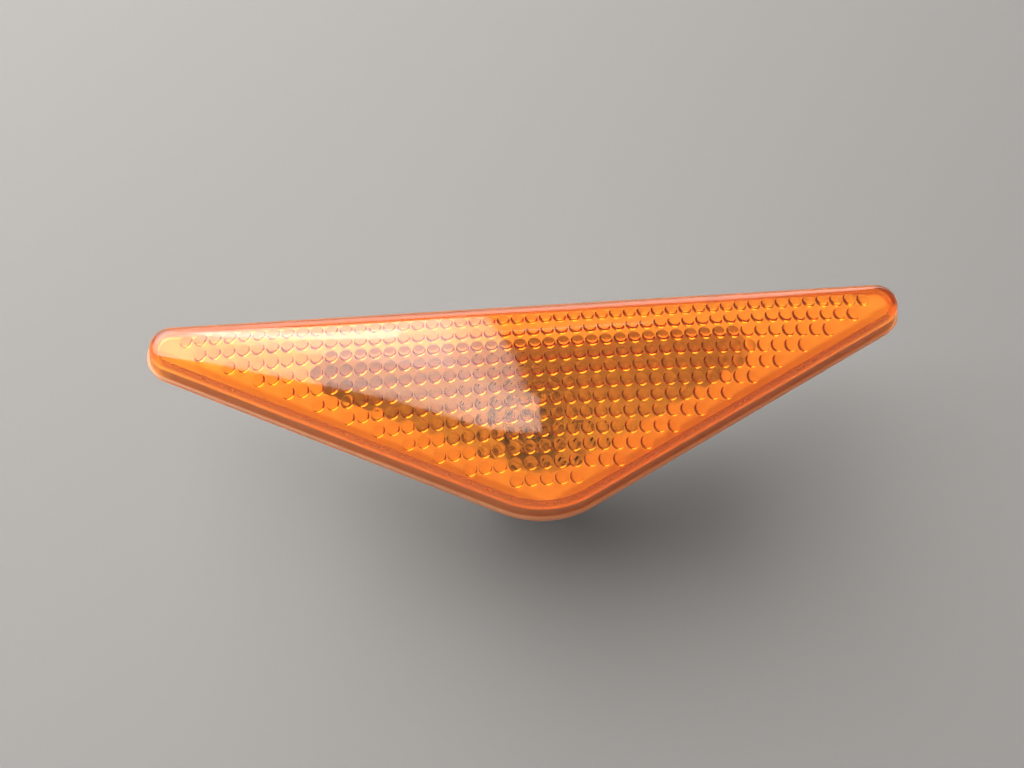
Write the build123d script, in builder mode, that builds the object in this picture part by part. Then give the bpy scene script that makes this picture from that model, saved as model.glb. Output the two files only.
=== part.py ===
from build123d import *
import math
import os

os.makedirs("parts", exist_ok=True)

# The amber side repeater lamp of a car's front wing, in millimetres.
# The lens looks along +Z. Its long straight edge lies along X on the +Y side, and its blunt point is
# on the -Y side. The wing's panel is at z = 0, and the Z axis is the axis of the bulb.

# Outline of the lamp, seen from in front of the lens
lamp_length = 120.0
lamp_width = 34.8
tip_radius = 4.5
point_radius = 16.0

# Lens: a skirt, a narrow ledge, a drafted wall, a rounded shoulder and a domed face
gasket_thickness = 1.5
skirt_height = 0.9
skirt_wall = 2.0
ledge_width = 0.5
wall_height = 2.5
wall_draft = 16.0
shoulder_run = 1.8
shoulder_rise = 1.7
shoulder_turn = 65.0
shoulder_steps = 3
dome_rise = 2.9
dome_steps = 8
dome_crown = 0.12
lens_wall = 2.0
side_wall = 2.2
hip_break = 0.55

# Pillows on the inner face of the lens, low bumps that spread the light
pillow_pitch_x = 2.21
pillow_pitch_y = 2.30
pillow_size = 2.06
pillow_height = 0.42
pillow_root = 0.02
long_edge_margin = 3.9
lower_edge_margin = 6.4

# Rear housing: a plate welded into the back of the lens, and a pocket for the bulb
plate_thickness = 1.8
weld_clearance = 0.1
pocket_end_height = 4.8
pocket_top = 10.0
pocket_margin = 7.0
pocket_corner = 1.5
pocket_point = 8.0
pocket_depth = 17.5
pocket_wall = 2.0
pocket_draft = 2.0
pocket_edge = 0.7
neck_height = 3.0
neck_radius = 10.6
rib_thickness = 1.5
rib_height = 2.0
rib_margin = 3.0

# Gasket between the lamp and the panel
gasket_inset = 0.5
gasket_width = 2.6

# Hook at one end and snap tongue at the other, which hold the lamp in the panel's opening
panel_thickness = 0.8
panel_play = 0.5
hook_width = 3.6
hook_reach = 5.5
hook_thickness = 1.4
hook_gusset = 4.5
tongue_width = 5.6
tongue_gap = 1.7
tongue_thickness = 1.2
tongue_length = 13.5
barb_reach = 1.9
barb_length = 7.0
barb_land = 0.8

# Twist lock between the bulb holder and the neck of the housing
bore_radius = 7.5
barrel_clearance = 0.2
barrel_front = 2.5
lug_reach = 1.7
lug_thickness = 2.0
wide_lug = 5.0
narrow_lug = 4.0
lug_clearance = 0.35
unlock_angle = 45.0
stop_width = 1.5

# Bulb holder, its seal and its plug socket
seal_fit = 0.1
seal_width = 3.0
seal_thickness = 1.2
flange_radius = 11.4
flange_thickness = 1.8
socket_depth = 10.4
mouth_depth = 2.5
mouth_clearance = 0.4
web_thickness = 2.5
plug_depth = 8.5
plug_length = 12.0
plug_width = 7.4
plug_wall = 1.6
plug_corner = 1.5
grip_ribs = 4
grip_pitch = 3.2
grip_width = 1.2
grip_height = 0.8

# Capless wedge-base bulb
bulb_length = 26.8
bulb_diameter = 10.2
bulb_neck = 6.2
bulb_crown = 3.4
bulb_tip_radius = 2.4
glass_wall = 0.6
pinch_width = 9.5
pinch_thickness = 2.1
pinch_height = 8.6
pinch_fit = 0.1
lead_diameter = 0.5
lead_spacing = 4.8
lead_fit = 0.05
lead_fold = 5.4
light_centre = 12.7
filament_diameter = 0.5
filament_joint = 0.05
lead_sides = 6

# Stamped contacts, each one a blade for the plug and a spring for the bulb
contact_width = 2.8
contact_thickness = 0.5
contact_fit = 0.05
spring_rise = 0.6
spring_half_length = 2.5
nose_height = 3.2
blade_recess = 0.8

# Outline: centres of the rounded corners, and the slope and distance of the two lower edges
tip_x = lamp_length / 2 - tip_radius
tip_y = lamp_width / 2 - tip_radius
point_y = point_radius - lamp_width / 2
side_slope = math.degrees(
    math.atan2(tip_y - point_y, tip_x)
    + math.asin((point_radius - tip_radius) / math.hypot(tip_x, tip_y - point_y))
)
right_normal = Vector(math.sin(math.radians(side_slope)), -math.cos(math.radians(side_slope)))
left_normal = Vector(-right_normal.X, right_normal.Y)
side_distance = right_normal.Y * point_y + point_radius

# Levels of the lens
skirt_back = gasket_thickness
ledge_z = skirt_back + skirt_height
wall_top = ledge_z + wall_height
wall_inset = ledge_width + wall_height * math.tan(math.radians(wall_draft))
face_z = wall_top + shoulder_rise * math.sin(math.radians(shoulder_turn))
face_inset = wall_inset + shoulder_run * (1 - math.cos(math.radians(shoulder_turn)))
plate_front = skirt_back + plate_thickness
core_inset = ledge_width + side_wall
core_face = face_z - lens_wall

# Levels of the housing and the holder
pocket_floor = skirt_back - pocket_depth
pocket_back = pocket_floor - pocket_wall
neck_back = pocket_back - neck_height
flange_front = neck_back - seal_thickness
flange_back = flange_front - flange_thickness
barrel_radius = bore_radius - barrel_clearance
barrel_end = pocket_floor + barrel_front
lug_radius = barrel_radius + lug_reach
panel_back = -panel_thickness - panel_play
pocket_end_y = pocket_top - pocket_end_height
pocket_half_length = (side_distance - pocket_margin - right_normal.Y * pocket_end_y) / right_normal.X
clip_y = (pocket_top + pocket_end_y) / 2
end_wall = pocket_half_length + pocket_wall

# Levels of the bulb and the contacts
pinch_end = barrel_end - socket_depth
pinch_top = pinch_end + pinch_height
bulb_tip = pinch_end + bulb_length
filament_z = pinch_end + light_centre
lead_top = filament_z + lead_diameter
lead_fold_y = pinch_thickness / 2 + lead_fit + lead_diameter / 2
lead_fold_z = pinch_end - lead_fit - lead_diameter / 2
socket_floor = lead_fold_z - lead_diameter / 2 - lead_fit
web_back = socket_floor - web_thickness
jog_z = socket_floor - web_thickness / 2
plug_end = web_back - plug_depth
spring_nose = lead_fold_y + lead_diameter / 2 + contact_fit
spring_seat = spring_nose + spring_rise
socket_half_width = spring_seat + contact_thickness + contact_fit


def lamp_outline(inset, scale=1.0):
    """Draw the rounded triangle of the lamp, inset all round, then scaled about the bulb's axis."""
    tip = (tip_radius - inset) * scale
    point = (point_radius - inset) * scale
    with BuildLine() as outline:
        right_tip = CenterArc((tip_x * scale, tip_y * scale), tip, 90, side_slope - 180)
        blunt_point = CenterArc((0, point_y * scale), point, side_slope - 90, -2 * side_slope)
        left_tip = CenterArc((-tip_x * scale, tip_y * scale), tip, -90 - side_slope, side_slope - 180)
        Line(left_tip @ 1, right_tip @ 0)
        Line(right_tip @ 1, blunt_point @ 0)
        Line(blunt_point @ 1, left_tip @ 0)
    make_face(outline.edges())


def level_section(z, inset, scale=1.0):
    """Return one level section of the lens."""
    with BuildSketch(Plane.XY.offset(z)) as section:
        lamp_outline(inset, scale)
    return section.sketch.face()


def shoulder_sections():
    """Return the sections of the rounded shoulder, from the wall up to the face."""
    sections = []
    for step in range(shoulder_steps + 1):
        turn = math.radians(shoulder_turn * step / shoulder_steps)
        rise = shoulder_rise * math.sin(turn)
        run = shoulder_run * (1 - math.cos(turn))
        sections.append(level_section(wall_top + rise, wall_inset + run))
    return sections


def dome_sections():
    """Return the sections of the domed face, from its edge up to the crown."""
    sections = []
    for step in range(dome_steps + 1):
        scale = 1 - (1 - dome_crown) * step / dome_steps
        sections.append(level_section(face_z + dome_rise * (1 - scale**2), face_inset, scale))
    return sections


def roof_plane(normal, low, high):
    """Return a plane under the dome, along one edge, between two of the dome's level lines."""
    reach = side_distance - core_inset
    foot = dome_rise * (1 - low**2)
    fall = dome_rise * (low**2 - high**2) / ((low - high) * reach)
    spot = normal * (low * reach) + Vector(0, 0, core_face + foot)
    return Plane(origin=spot, z_dir=(normal.X * fall, normal.Y * fall, 1))


def pocket_outline(grow):
    """Draw the plan of the bulb pocket, which runs alongside the edges of the lamp."""
    half = pocket_half_length + grow
    top = pocket_top + grow
    reach = side_distance - pocket_margin + grow
    end_y = (reach - right_normal.X * half) / right_normal.Y
    point = pocket_point + grow
    centre_y = (reach - point) / right_normal.Y
    with BuildLine() as plan:
        blunt = CenterArc((0, centre_y), point, side_slope - 90, -2 * side_slope)
        Polyline(blunt @ 1, (-half, end_y), (-half, top), (half, top), (half, end_y), blunt @ 0)
    make_face(plan.edges())


def contact_profile():
    """Draw a contact from the side: blade, jog through the holder, spring with a raised nose."""
    nose = pinch_end + nose_height
    with BuildLine() as strip:
        Polyline(
            (0, plug_end + blade_recess),
            (0, jog_z),
            (spring_seat, jog_z),
            (spring_seat, nose - spring_half_length),
            (spring_nose, nose),
            (spring_seat, nose + spring_half_length),
        )
        offset(amount=contact_thickness, side=Side.RIGHT, kind=Kind.INTERSECTION)
    make_face(strip.edges())


def end_corner(edge):
    """Tell whether an edge of the pocket is one of the upright corners at its two ends."""
    return abs(edge.tangent_at(0).Z) > 0.9 and abs(edge.center().X) > pocket_half_length / 2


# Core of the lens: the hollow behind its face, under two flat roof planes along each edge
with BuildPart() as lens_core:
    with BuildSketch(Plane.XY.offset(plate_front)):
        lamp_outline(core_inset)
    extrude(amount=core_face + dome_rise - plate_front)
    for edge_normal in (Vector(0, 1), right_normal, left_normal):
        split(bisect_by=roof_plane(edge_normal, 1.0, hip_break), keep=Keep.BOTTOM)
        split(bisect_by=roof_plane(edge_normal, hip_break, dome_crown), keep=Keep.BOTTOM)

# One pillow, a low peak that points into the lamp
with BuildPart() as pillow:
    spread = 1 + pillow_root / pillow_height
    with BuildSketch(Plane.XY.offset(-pillow_root)) as pillow_base:
        Rectangle(pillow_size * spread, pillow_size * spread)
    loft(sections=[pillow_base.sketch.face(), Vertex(0, 0, pillow_height)])

# Seats of the pillows: a square grid, kept clear of the lamp's edges
columns = int(lamp_length / pillow_pitch_x / 2)
rows = int(lamp_width / pillow_pitch_y)
first_row = lamp_width / 2 - long_edge_margin
pillow_seats = []
for row in range(rows):
    for column in range(-columns, columns + 1):
        x = column * pillow_pitch_x
        y = first_row - row * pillow_pitch_y
        if side_distance - right_normal.X * abs(x) - right_normal.Y * y > lower_edge_margin:
            ray = Axis((x, y, plate_front), (0, 0, 1))
            spot, outward = lens_core.part.find_intersection_points(ray)[-1]
            pillow_seats.append(Plane(origin=spot, x_dir=(1, 0, outward.X / -outward.Z), z_dir=-outward))

# Lens: hollow behind its face, with a step at the back for the housing's plate
with BuildPart() as lens:
    with BuildSketch(Plane.XY.offset(skirt_back)):
        lamp_outline(0)
    extrude(amount=skirt_height)
    loft(sections=[level_section(ledge_z, ledge_width), level_section(wall_top, wall_inset)], ruled=True)
    loft(sections=shoulder_sections(), ruled=True)
    loft(sections=dome_sections(), ruled=True)
    with BuildSketch(Plane.XY.offset(skirt_back)):
        lamp_outline(skirt_wall)
    extrude(amount=plate_thickness, mode=Mode.SUBTRACT)
    add(lens_core.part, mode=Mode.SUBTRACT)
    with Locations(*pillow_seats):
        add(pillow.part)
lens.part.label = "lens"
export_step(lens.part, "parts/lens.step")

# Pocket of the housing, outside and inside, with drafted walls
with BuildPart() as pocket_body:
    with BuildSketch(Plane.XY.offset(skirt_back)):
        pocket_outline(pocket_wall)
    extrude(amount=pocket_back - skirt_back)
    draft(pocket_body.faces().filter_by(Plane.XY, reverse=True), Plane.XY.offset(skirt_back), -pocket_draft)
    chamfer(pocket_body.edges().filter_by(end_corner), pocket_corner + (2 - math.sqrt(2)) * pocket_wall)
    chamfer(pocket_body.faces().sort_by(Axis.Z)[0].edges(), pocket_edge)

with BuildPart() as pocket_core:
    with BuildSketch(Plane.XY.offset(plate_front)):
        pocket_outline(0)
    extrude(amount=pocket_floor - plate_front)
    draft(pocket_core.faces().filter_by(Plane.XY, reverse=True), Plane.XY.offset(plate_front), -pocket_draft)
    chamfer(pocket_core.edges().filter_by(end_corner), pocket_corner)

# Rear housing: plate, drafted pocket, hook, snap tongue, neck with two notches, stops for the lugs
with BuildPart() as rear_housing:
    with BuildSketch(Plane.XY.offset(skirt_back)):
        lamp_outline(skirt_wall + weld_clearance)
    extrude(amount=plate_thickness)
    add(pocket_body.part)
    with BuildSketch(Plane.XY.offset(pocket_back)):
        Circle(neck_radius)
    extrude(amount=-neck_height)
    with BuildSketch(Plane.XY.offset(pocket_back)):
        with Locations((0, clip_y)):
            Rectangle(2 * (pocket_half_length - rib_margin), rib_thickness)
    extrude(amount=-rib_height)
    with BuildSketch(Plane.XZ.offset(-clip_y)):
        with BuildLine():
            Polyline(
                (-pocket_half_length, panel_back),
                (-end_wall - hook_reach, panel_back),
                (-end_wall - hook_reach, panel_back - hook_thickness),
                (-pocket_half_length, panel_back - hook_thickness - hook_gusset),
                close=True,
            )
        make_face()
    extrude(amount=hook_width / 2, both=True)
    with BuildSketch(Plane.XZ.offset(-clip_y)) as tongue:
        inner = end_wall + tongue_gap
        outer = inner + tongue_thickness
        root = panel_back - tongue_length
        with BuildLine():
            Polyline(
                (pocket_half_length, root),
                (outer, root),
                (outer, panel_back - barb_length),
                (outer + barb_reach, panel_back - barb_land),
                (outer + barb_reach, panel_back),
                (inner, panel_back),
                (inner, root + tongue_thickness),
                (pocket_half_length, root + tongue_thickness),
                close=True,
            )
        make_face()
        fillet(tongue.vertices().sort_by_distance((outer, 0, root))[0], tongue_thickness)
    extrude(amount=tongue_width / 2, both=True)
    add(pocket_core.part, mode=Mode.SUBTRACT)
    notch = lug_radius + lug_clearance
    wide_notch = wide_lug + 2 * lug_clearance
    narrow_notch = narrow_lug + 2 * lug_clearance
    with BuildSketch(Plane.XY.offset(neck_back)):
        Circle(bore_radius)
        Rectangle(notch, wide_notch, rotation=-unlock_angle, align=(Align.MIN, Align.CENTER))
        Rectangle(notch, narrow_notch, rotation=-unlock_angle, align=(Align.MAX, Align.CENTER))
    extrude(amount=neck_height + pocket_wall, mode=Mode.SUBTRACT)
    with BuildSketch(Plane.XY.offset(pocket_floor)):
        stop_x = (bore_radius + lug_radius + lug_clearance) / 2
        with Locations((stop_x, (wide_lug + stop_width) / 2 + lug_clearance)):
            Rectangle(lug_reach, stop_width)
        with Locations((-stop_x, -(narrow_lug + stop_width) / 2 - lug_clearance)):
            Rectangle(lug_reach, stop_width)
    extrude(amount=lug_thickness)
rear_housing.part.label = "rear_housing"
export_step(rear_housing.part, "parts/rear_housing.step")

# Gasket: a flat ring of foam around the pocket
with BuildPart() as panel_gasket:
    with BuildSketch():
        lamp_outline(gasket_inset)
    extrude(amount=gasket_thickness)
    with BuildSketch():
        lamp_outline(gasket_inset + gasket_width)
    extrude(amount=gasket_thickness, mode=Mode.SUBTRACT)
panel_gasket.part.label = "panel_gasket"
export_step(panel_gasket.part, "parts/panel_gasket.step")

# Bulb holder: barrel with two lugs, flange, ribbed grip with the plug socket, and the bulb's socket
with BuildPart() as bulb_holder:
    with BuildSketch(Plane.XY.offset(flange_front)):
        Circle(barrel_radius)
    extrude(amount=barrel_end - flange_front)
    with BuildSketch(Plane.XY.offset(pocket_floor)):
        Rectangle(lug_radius, wide_lug, align=(Align.MIN, Align.CENTER))
        Rectangle(lug_radius, narrow_lug, align=(Align.MAX, Align.CENTER))
        Circle(lug_radius, mode=Mode.INTERSECT)
    extrude(amount=lug_thickness)
    with BuildSketch(Plane.XY.offset(flange_front)):
        Circle(flange_radius)
    extrude(amount=-flange_thickness)
    with BuildSketch(Plane.XY.offset(flange_back)):
        RectangleRounded(plug_length + 2 * plug_wall, plug_width + 2 * plug_wall, plug_corner + plug_wall)
        with GridLocations(grip_pitch, plug_width + 2 * plug_wall, grip_ribs, 2):
            Rectangle(grip_width, 2 * grip_height)
    extrude(amount=plug_end - flange_back)
    with BuildSketch(Plane.XY.offset(plug_end)):
        RectangleRounded(plug_length, plug_width, plug_corner)
    extrude(amount=plug_depth, mode=Mode.SUBTRACT)
    with BuildSketch(Plane.XY.offset(barrel_end)):
        Circle(bulb_diameter / 2 + mouth_clearance)
    extrude(amount=-mouth_depth, mode=Mode.SUBTRACT)
    with BuildSketch(Plane.XY.offset(barrel_end)):
        Rectangle(pinch_width + 2 * pinch_fit, pinch_thickness + 2 * pinch_fit)
    extrude(amount=-socket_depth, mode=Mode.SUBTRACT)
    with BuildSketch(Plane.XY.offset(barrel_end)):
        Rectangle(lead_spacing + contact_width + 2 * contact_fit, 2 * socket_half_width)
    extrude(amount=socket_floor - barrel_end, mode=Mode.SUBTRACT)
    window = spring_seat + contact_thickness + 2 * contact_fit
    with BuildSketch(Plane.XY.offset(web_back)):
        with Locations((lead_spacing / 2, -contact_fit)):
            Rectangle(contact_width + 2 * contact_fit, window, align=(Align.CENTER, Align.MIN))
        with Locations((-lead_spacing / 2, contact_fit)):
            Rectangle(contact_width + 2 * contact_fit, window, align=(Align.CENTER, Align.MAX))
    extrude(amount=web_thickness, mode=Mode.SUBTRACT)
bulb_holder.part.label = "bulb_holder"
export_step(bulb_holder.part, "parts/bulb_holder.step")

# Seal: a flat ring squeezed between the neck and the holder's flange
with BuildPart() as holder_seal:
    with BuildSketch(Plane.XY.offset(flange_front)):
        Circle(barrel_radius + seal_fit + seal_width)
        Circle(barrel_radius + seal_fit, mode=Mode.SUBTRACT)
    extrude(amount=seal_thickness)
holder_seal.part.label = "holder_seal"
export_step(holder_seal.part, "parts/holder_seal.step")

# Contacts: the second one is the first one turned half round the bulb's axis
with BuildPart() as contact_feed:
    with BuildSketch(Plane.YZ.offset(lead_spacing / 2)):
        contact_profile()
    extrude(amount=contact_width / 2, both=True)
contact_feed.part.label = "contact_feed"
export_step(contact_feed.part, "parts/contact_feed.step")

with BuildPart() as contact_earth:
    with BuildSketch(Plane.YZ.rotated((0, 0, 180)).offset(lead_spacing / 2)):
        contact_profile()
    extrude(amount=contact_width / 2, both=True)
contact_earth.part.label = "contact_earth"
export_step(contact_earth.part, "parts/contact_earth.step")

# Bulb glass: a blown envelope with a flat pinched base, drilled for its two leads
bulb_radius = bulb_diameter / 2
crown_z = bulb_tip - bulb_crown
with BuildPart() as bulb_glass:
    with BuildSketch(Plane.XZ):
        with BuildLine():
            Polyline(
                (0, pinch_top),
                (bulb_neck / 2, pinch_top),
                (bulb_radius, pinch_top + bulb_radius - bulb_neck / 2),
                (bulb_radius, crown_z),
                (bulb_tip_radius, bulb_tip),
                (0, bulb_tip),
                close=True,
            )
        make_face()
    revolve(axis=Axis.Z)
    with BuildSketch(Plane.XY.offset(crown_z)):
        Circle(bulb_radius - glass_wall)
    extrude(amount=pinch_top + bulb_radius - bulb_neck / 2 - crown_z, mode=Mode.SUBTRACT)
    with BuildSketch(Plane.XY.offset(pinch_end)):
        Rectangle(pinch_width, pinch_thickness)
    extrude(amount=pinch_height + glass_wall / 2)
    with BuildSketch(Plane.XY.offset(pinch_end)):
        with GridLocations(lead_spacing, 1, 2, 1):
            Circle(lead_diameter / 2 + lead_fit)
    extrude(amount=light_centre, mode=Mode.SUBTRACT)
bulb_glass.part.label = "bulb_glass"
export_step(bulb_glass.part, "parts/bulb_glass.step")

# Leads: wires through the pinched base, folded up on opposite faces of it
with BuildPart() as bulb_lead_feed:
    with BuildLine(Plane.YZ.offset(lead_spacing / 2)):
        Polyline(
            (0, lead_top),
            (0, lead_fold_z),
            (lead_fold_y, lead_fold_z),
            (lead_fold_y, pinch_end + lead_fold),
        )
    with BuildSketch(Plane.XY.offset(lead_top)):
        with Locations((lead_spacing / 2, 0)):
            RegularPolygon(lead_diameter / 2, lead_sides)
    sweep(transition=Transition.RIGHT)
bulb_lead_feed.part.label = "bulb_lead_feed"
export_step(bulb_lead_feed.part, "parts/bulb_lead_feed.step")

with BuildPart() as bulb_lead_earth:
    add(bulb_lead_feed.part.rotate(Axis.Z, 180))
bulb_lead_earth.part.label = "bulb_lead_earth"
export_step(bulb_lead_earth.part, "parts/bulb_lead_earth.step")

# Filament: a fine straight coil from lead to lead, drawn as the rod that it fills
filament_length = lead_spacing - lead_diameter - 2 * filament_joint
with BuildPart() as bulb_filament:
    with BuildSketch(Plane.YZ):
        with Locations((0, filament_z)):
            Circle(filament_diameter / 2)
    extrude(amount=filament_length / 2, both=True)
bulb_filament.part.label = "bulb_filament"
export_step(bulb_filament.part, "parts/bulb_filament.step")
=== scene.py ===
# %% [markdown]
# # An amber side repeater lamp
#
# This lesson dresses the imported model of a side repeater, the small orange lamp on the wing of a car.
# The frame is loaded first. Every finished piece is made in metres, in that frame, and rides on one of
# its two bodies: "lamp" (lens, housing, gasket) or "holder" (bulb holder, seal, bulb). The contacts and the
# bulb's leads keep their CAD solids.

# %% Load the frame
import math

import bmesh
import bpy
from mathutils import Matrix, Vector
from mathutils.geometry import delaunay_2d_cdt


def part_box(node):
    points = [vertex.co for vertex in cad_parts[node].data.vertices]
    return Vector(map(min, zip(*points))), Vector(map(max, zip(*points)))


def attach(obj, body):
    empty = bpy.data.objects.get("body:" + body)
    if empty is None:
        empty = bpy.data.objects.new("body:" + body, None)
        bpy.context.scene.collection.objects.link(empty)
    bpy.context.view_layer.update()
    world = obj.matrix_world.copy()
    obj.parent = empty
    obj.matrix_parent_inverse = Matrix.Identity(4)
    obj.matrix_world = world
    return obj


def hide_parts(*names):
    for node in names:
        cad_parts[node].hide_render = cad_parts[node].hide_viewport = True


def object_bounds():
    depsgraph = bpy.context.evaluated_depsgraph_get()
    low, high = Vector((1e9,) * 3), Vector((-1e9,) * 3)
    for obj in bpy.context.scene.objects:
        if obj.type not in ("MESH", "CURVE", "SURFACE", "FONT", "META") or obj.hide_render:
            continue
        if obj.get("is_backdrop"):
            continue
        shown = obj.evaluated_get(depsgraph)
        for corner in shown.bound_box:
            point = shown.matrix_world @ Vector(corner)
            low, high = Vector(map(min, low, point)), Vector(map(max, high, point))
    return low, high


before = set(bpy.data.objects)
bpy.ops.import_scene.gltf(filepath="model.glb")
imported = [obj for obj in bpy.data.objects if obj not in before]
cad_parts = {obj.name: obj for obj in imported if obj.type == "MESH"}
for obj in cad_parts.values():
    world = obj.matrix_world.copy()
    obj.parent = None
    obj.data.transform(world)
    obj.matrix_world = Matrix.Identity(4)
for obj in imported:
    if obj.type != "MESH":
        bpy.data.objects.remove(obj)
cad_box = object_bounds()
MM = 0.001

# %% [markdown]
# ## Helpers
#
# Small helpers carry the rest of the lesson. For materials, one turns an sRGB colour, as a colour picker
# shows it, into the linear values that shaders use, and one adds a node and sets or links its inputs.
# For shapes, one turns a finished bmesh into a mesh, and one turns whatever an object shows, modifiers
# included, into a plain mesh that can ride on a body.

# %% Colours, nodes and finished pieces
def linear(hex_colour):
    """Turn an sRGB hex colour into linear red, green, blue and an alpha of 1."""
    parts = [int(hex_colour[start:start + 2], 16) / 255 for start in (1, 3, 5)]
    return [part / 12.92 if part <= 0.04045 else ((part + 0.055) / 1.055) ** 2.4 for part in parts] + [1.0]


def add_node(tree, kind, inputs=None, **settings):
    """Add a node. An input is set to a value, or linked if the value is another node's socket."""
    node = tree.nodes.new(kind)
    for name, value in settings.items():
        setattr(node, name, value)
    for key, value in (inputs or {}).items():
        if isinstance(value, bpy.types.NodeSocket):
            tree.links.new(value, node.inputs[key])
        else:
            node.inputs[key].default_value = value
    return node


def new_material(name):
    """Return an empty material's node tree, and the material."""
    material = bpy.data.materials.new(name)
    material.use_nodes = True
    material.node_tree.nodes.clear()
    return material.node_tree, material


def new_object(name, data):
    """Link a new object for a mesh, a lamp or a camera."""
    thing = bpy.data.objects.new(name, data)
    bpy.context.scene.collection.objects.link(thing)
    return thing


def aimed(place_mm, aim_mm):
    """Return the matrix of a lamp or camera that stands at one place and looks at another."""
    look = (Vector(aim_mm) - Vector(place_mm)).to_track_quat("-Z", "Y").to_matrix().to_4x4()
    return Matrix.Translation(Vector(place_mm) * MM) @ look


def mesh_from(bm, name, crease=None):
    """Turn a finished bmesh into a mesh. With a crease, in degrees, it is smooth up to that angle."""
    mesh = bpy.data.meshes.new(name)
    bm.to_mesh(mesh)
    bm.free()
    if crease is not None:
        mesh.shade_smooth()
        mesh.set_sharp_from_angle(angle=math.radians(crease))
    return mesh


def plain_mesh(thing, name):
    """Return what an object shows, with its modifiers, as a mesh of its own."""
    bpy.context.view_layer.update()
    shown = thing.evaluated_get(bpy.context.evaluated_depsgraph_get())
    mesh = bpy.data.meshes.new_from_object(shown)
    mesh.name = name
    return mesh


def dress(thing, material):
    """Give an object one material only."""
    thing.data.materials.clear()
    thing.data.materials.append(material)


def finish_piece(piece, body, slot, *nodes):
    """Set a finished piece on its body, in place of the CAD nodes that it stands for."""
    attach(piece, body)
    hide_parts(*nodes)
    piece.data.calc_loop_triangles()
    print(piece.name, "has", len(piece.data.loop_triangles), "triangles and rides on", body)


print("helpers ready")

# %% [markdown]
# ## The camera
#
# The photograph was taken from close by, a little to the left of the bulb's axis and from the side of
# the blunt point, so the lens shows in strong perspective. The camera stands where that view comes
# from: a place, a point that it looks at on the plane of the panel, and a roll about its own axis.

# %% Camera
camera_place = (-13.26, -48.58, 148.7)
camera_aim = (-3.53, 5.23, 0.0)
camera_roll = 5.875
focal_px = 1000
photo_width_px = 1024

camera_data = bpy.data.cameras.new("camera")
camera_data.sensor_width = 36
camera_data.lens = camera_data.sensor_width * focal_px / photo_width_px
camera_data.clip_start = 1 * MM
camera = new_object("camera", camera_data)
roll = Matrix.Rotation(math.radians(camera_roll), 4, "Z")
camera.matrix_world = aimed(camera_place, camera_aim) @ roll
bpy.context.scene.camera = camera
print("camera at", camera_place, "mm, with a lens of", round(camera_data.lens, 1), "mm")

# %% [markdown]
# ## The lens material
#
# The lens is moulded acrylic with an amber dye. Clear plastic with dye in it is coloured by depth: light
# that crosses 2 mm comes out orange, and light that runs along a thick edge comes out a deeper orange.
# So the surface is plain clear glass with acrylic's index of refraction, and a volume inside absorbs
# blue and some green. A path tracer finds few lamps through glass, so shadow rays see a transparent
# surface instead, and the volume still tints them. The mould is polished only where light leaves the
# lamp: the back of the rim is frosted, and its outside is duller than the face, and paler from fine
# scratches. A number on each face, made with the mesh further down, says how frosted and worn it is.

# %% Amber acrylic
amber_through_2mm = (0.93, 0.55, 0.18)
absorption_density = 1200.0
acrylic_ior = 1.49
# Slow waves from the mould bend reflections a little, and a fine haze breaks up the gloss.
wave_mm = 9.0
wave_depth_mm = 0.02
haze_mm = 1.5
polished_roughness = (0.025, 0.08)
frost_roughness = 0.45
# Scratches send light back before the dye can deepen it, so they are paler than the plastic.
worn_colour = "#FFB680"
wear_scatter = 0.4


def absorption_colour(passed, depth, density):
    """Return the absorption colour that lets this share of each colour through at this depth."""
    return [1 + math.log(share) / (depth * density) for share in passed] + [1.0]


def open_to_lamps(tree, shader):
    """Return a surface with this shader that shadow rays pass straight through."""
    open_way = add_node(tree, "ShaderNodeBsdfTransparent").outputs["BSDF"]
    lamp_ray = add_node(tree, "ShaderNodeLightPath").outputs["Is Shadow Ray"]
    return add_node(tree, "ShaderNodeMixShader", {0: lamp_ray, 1: shader, 2: open_way}).outputs["Shader"]


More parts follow.
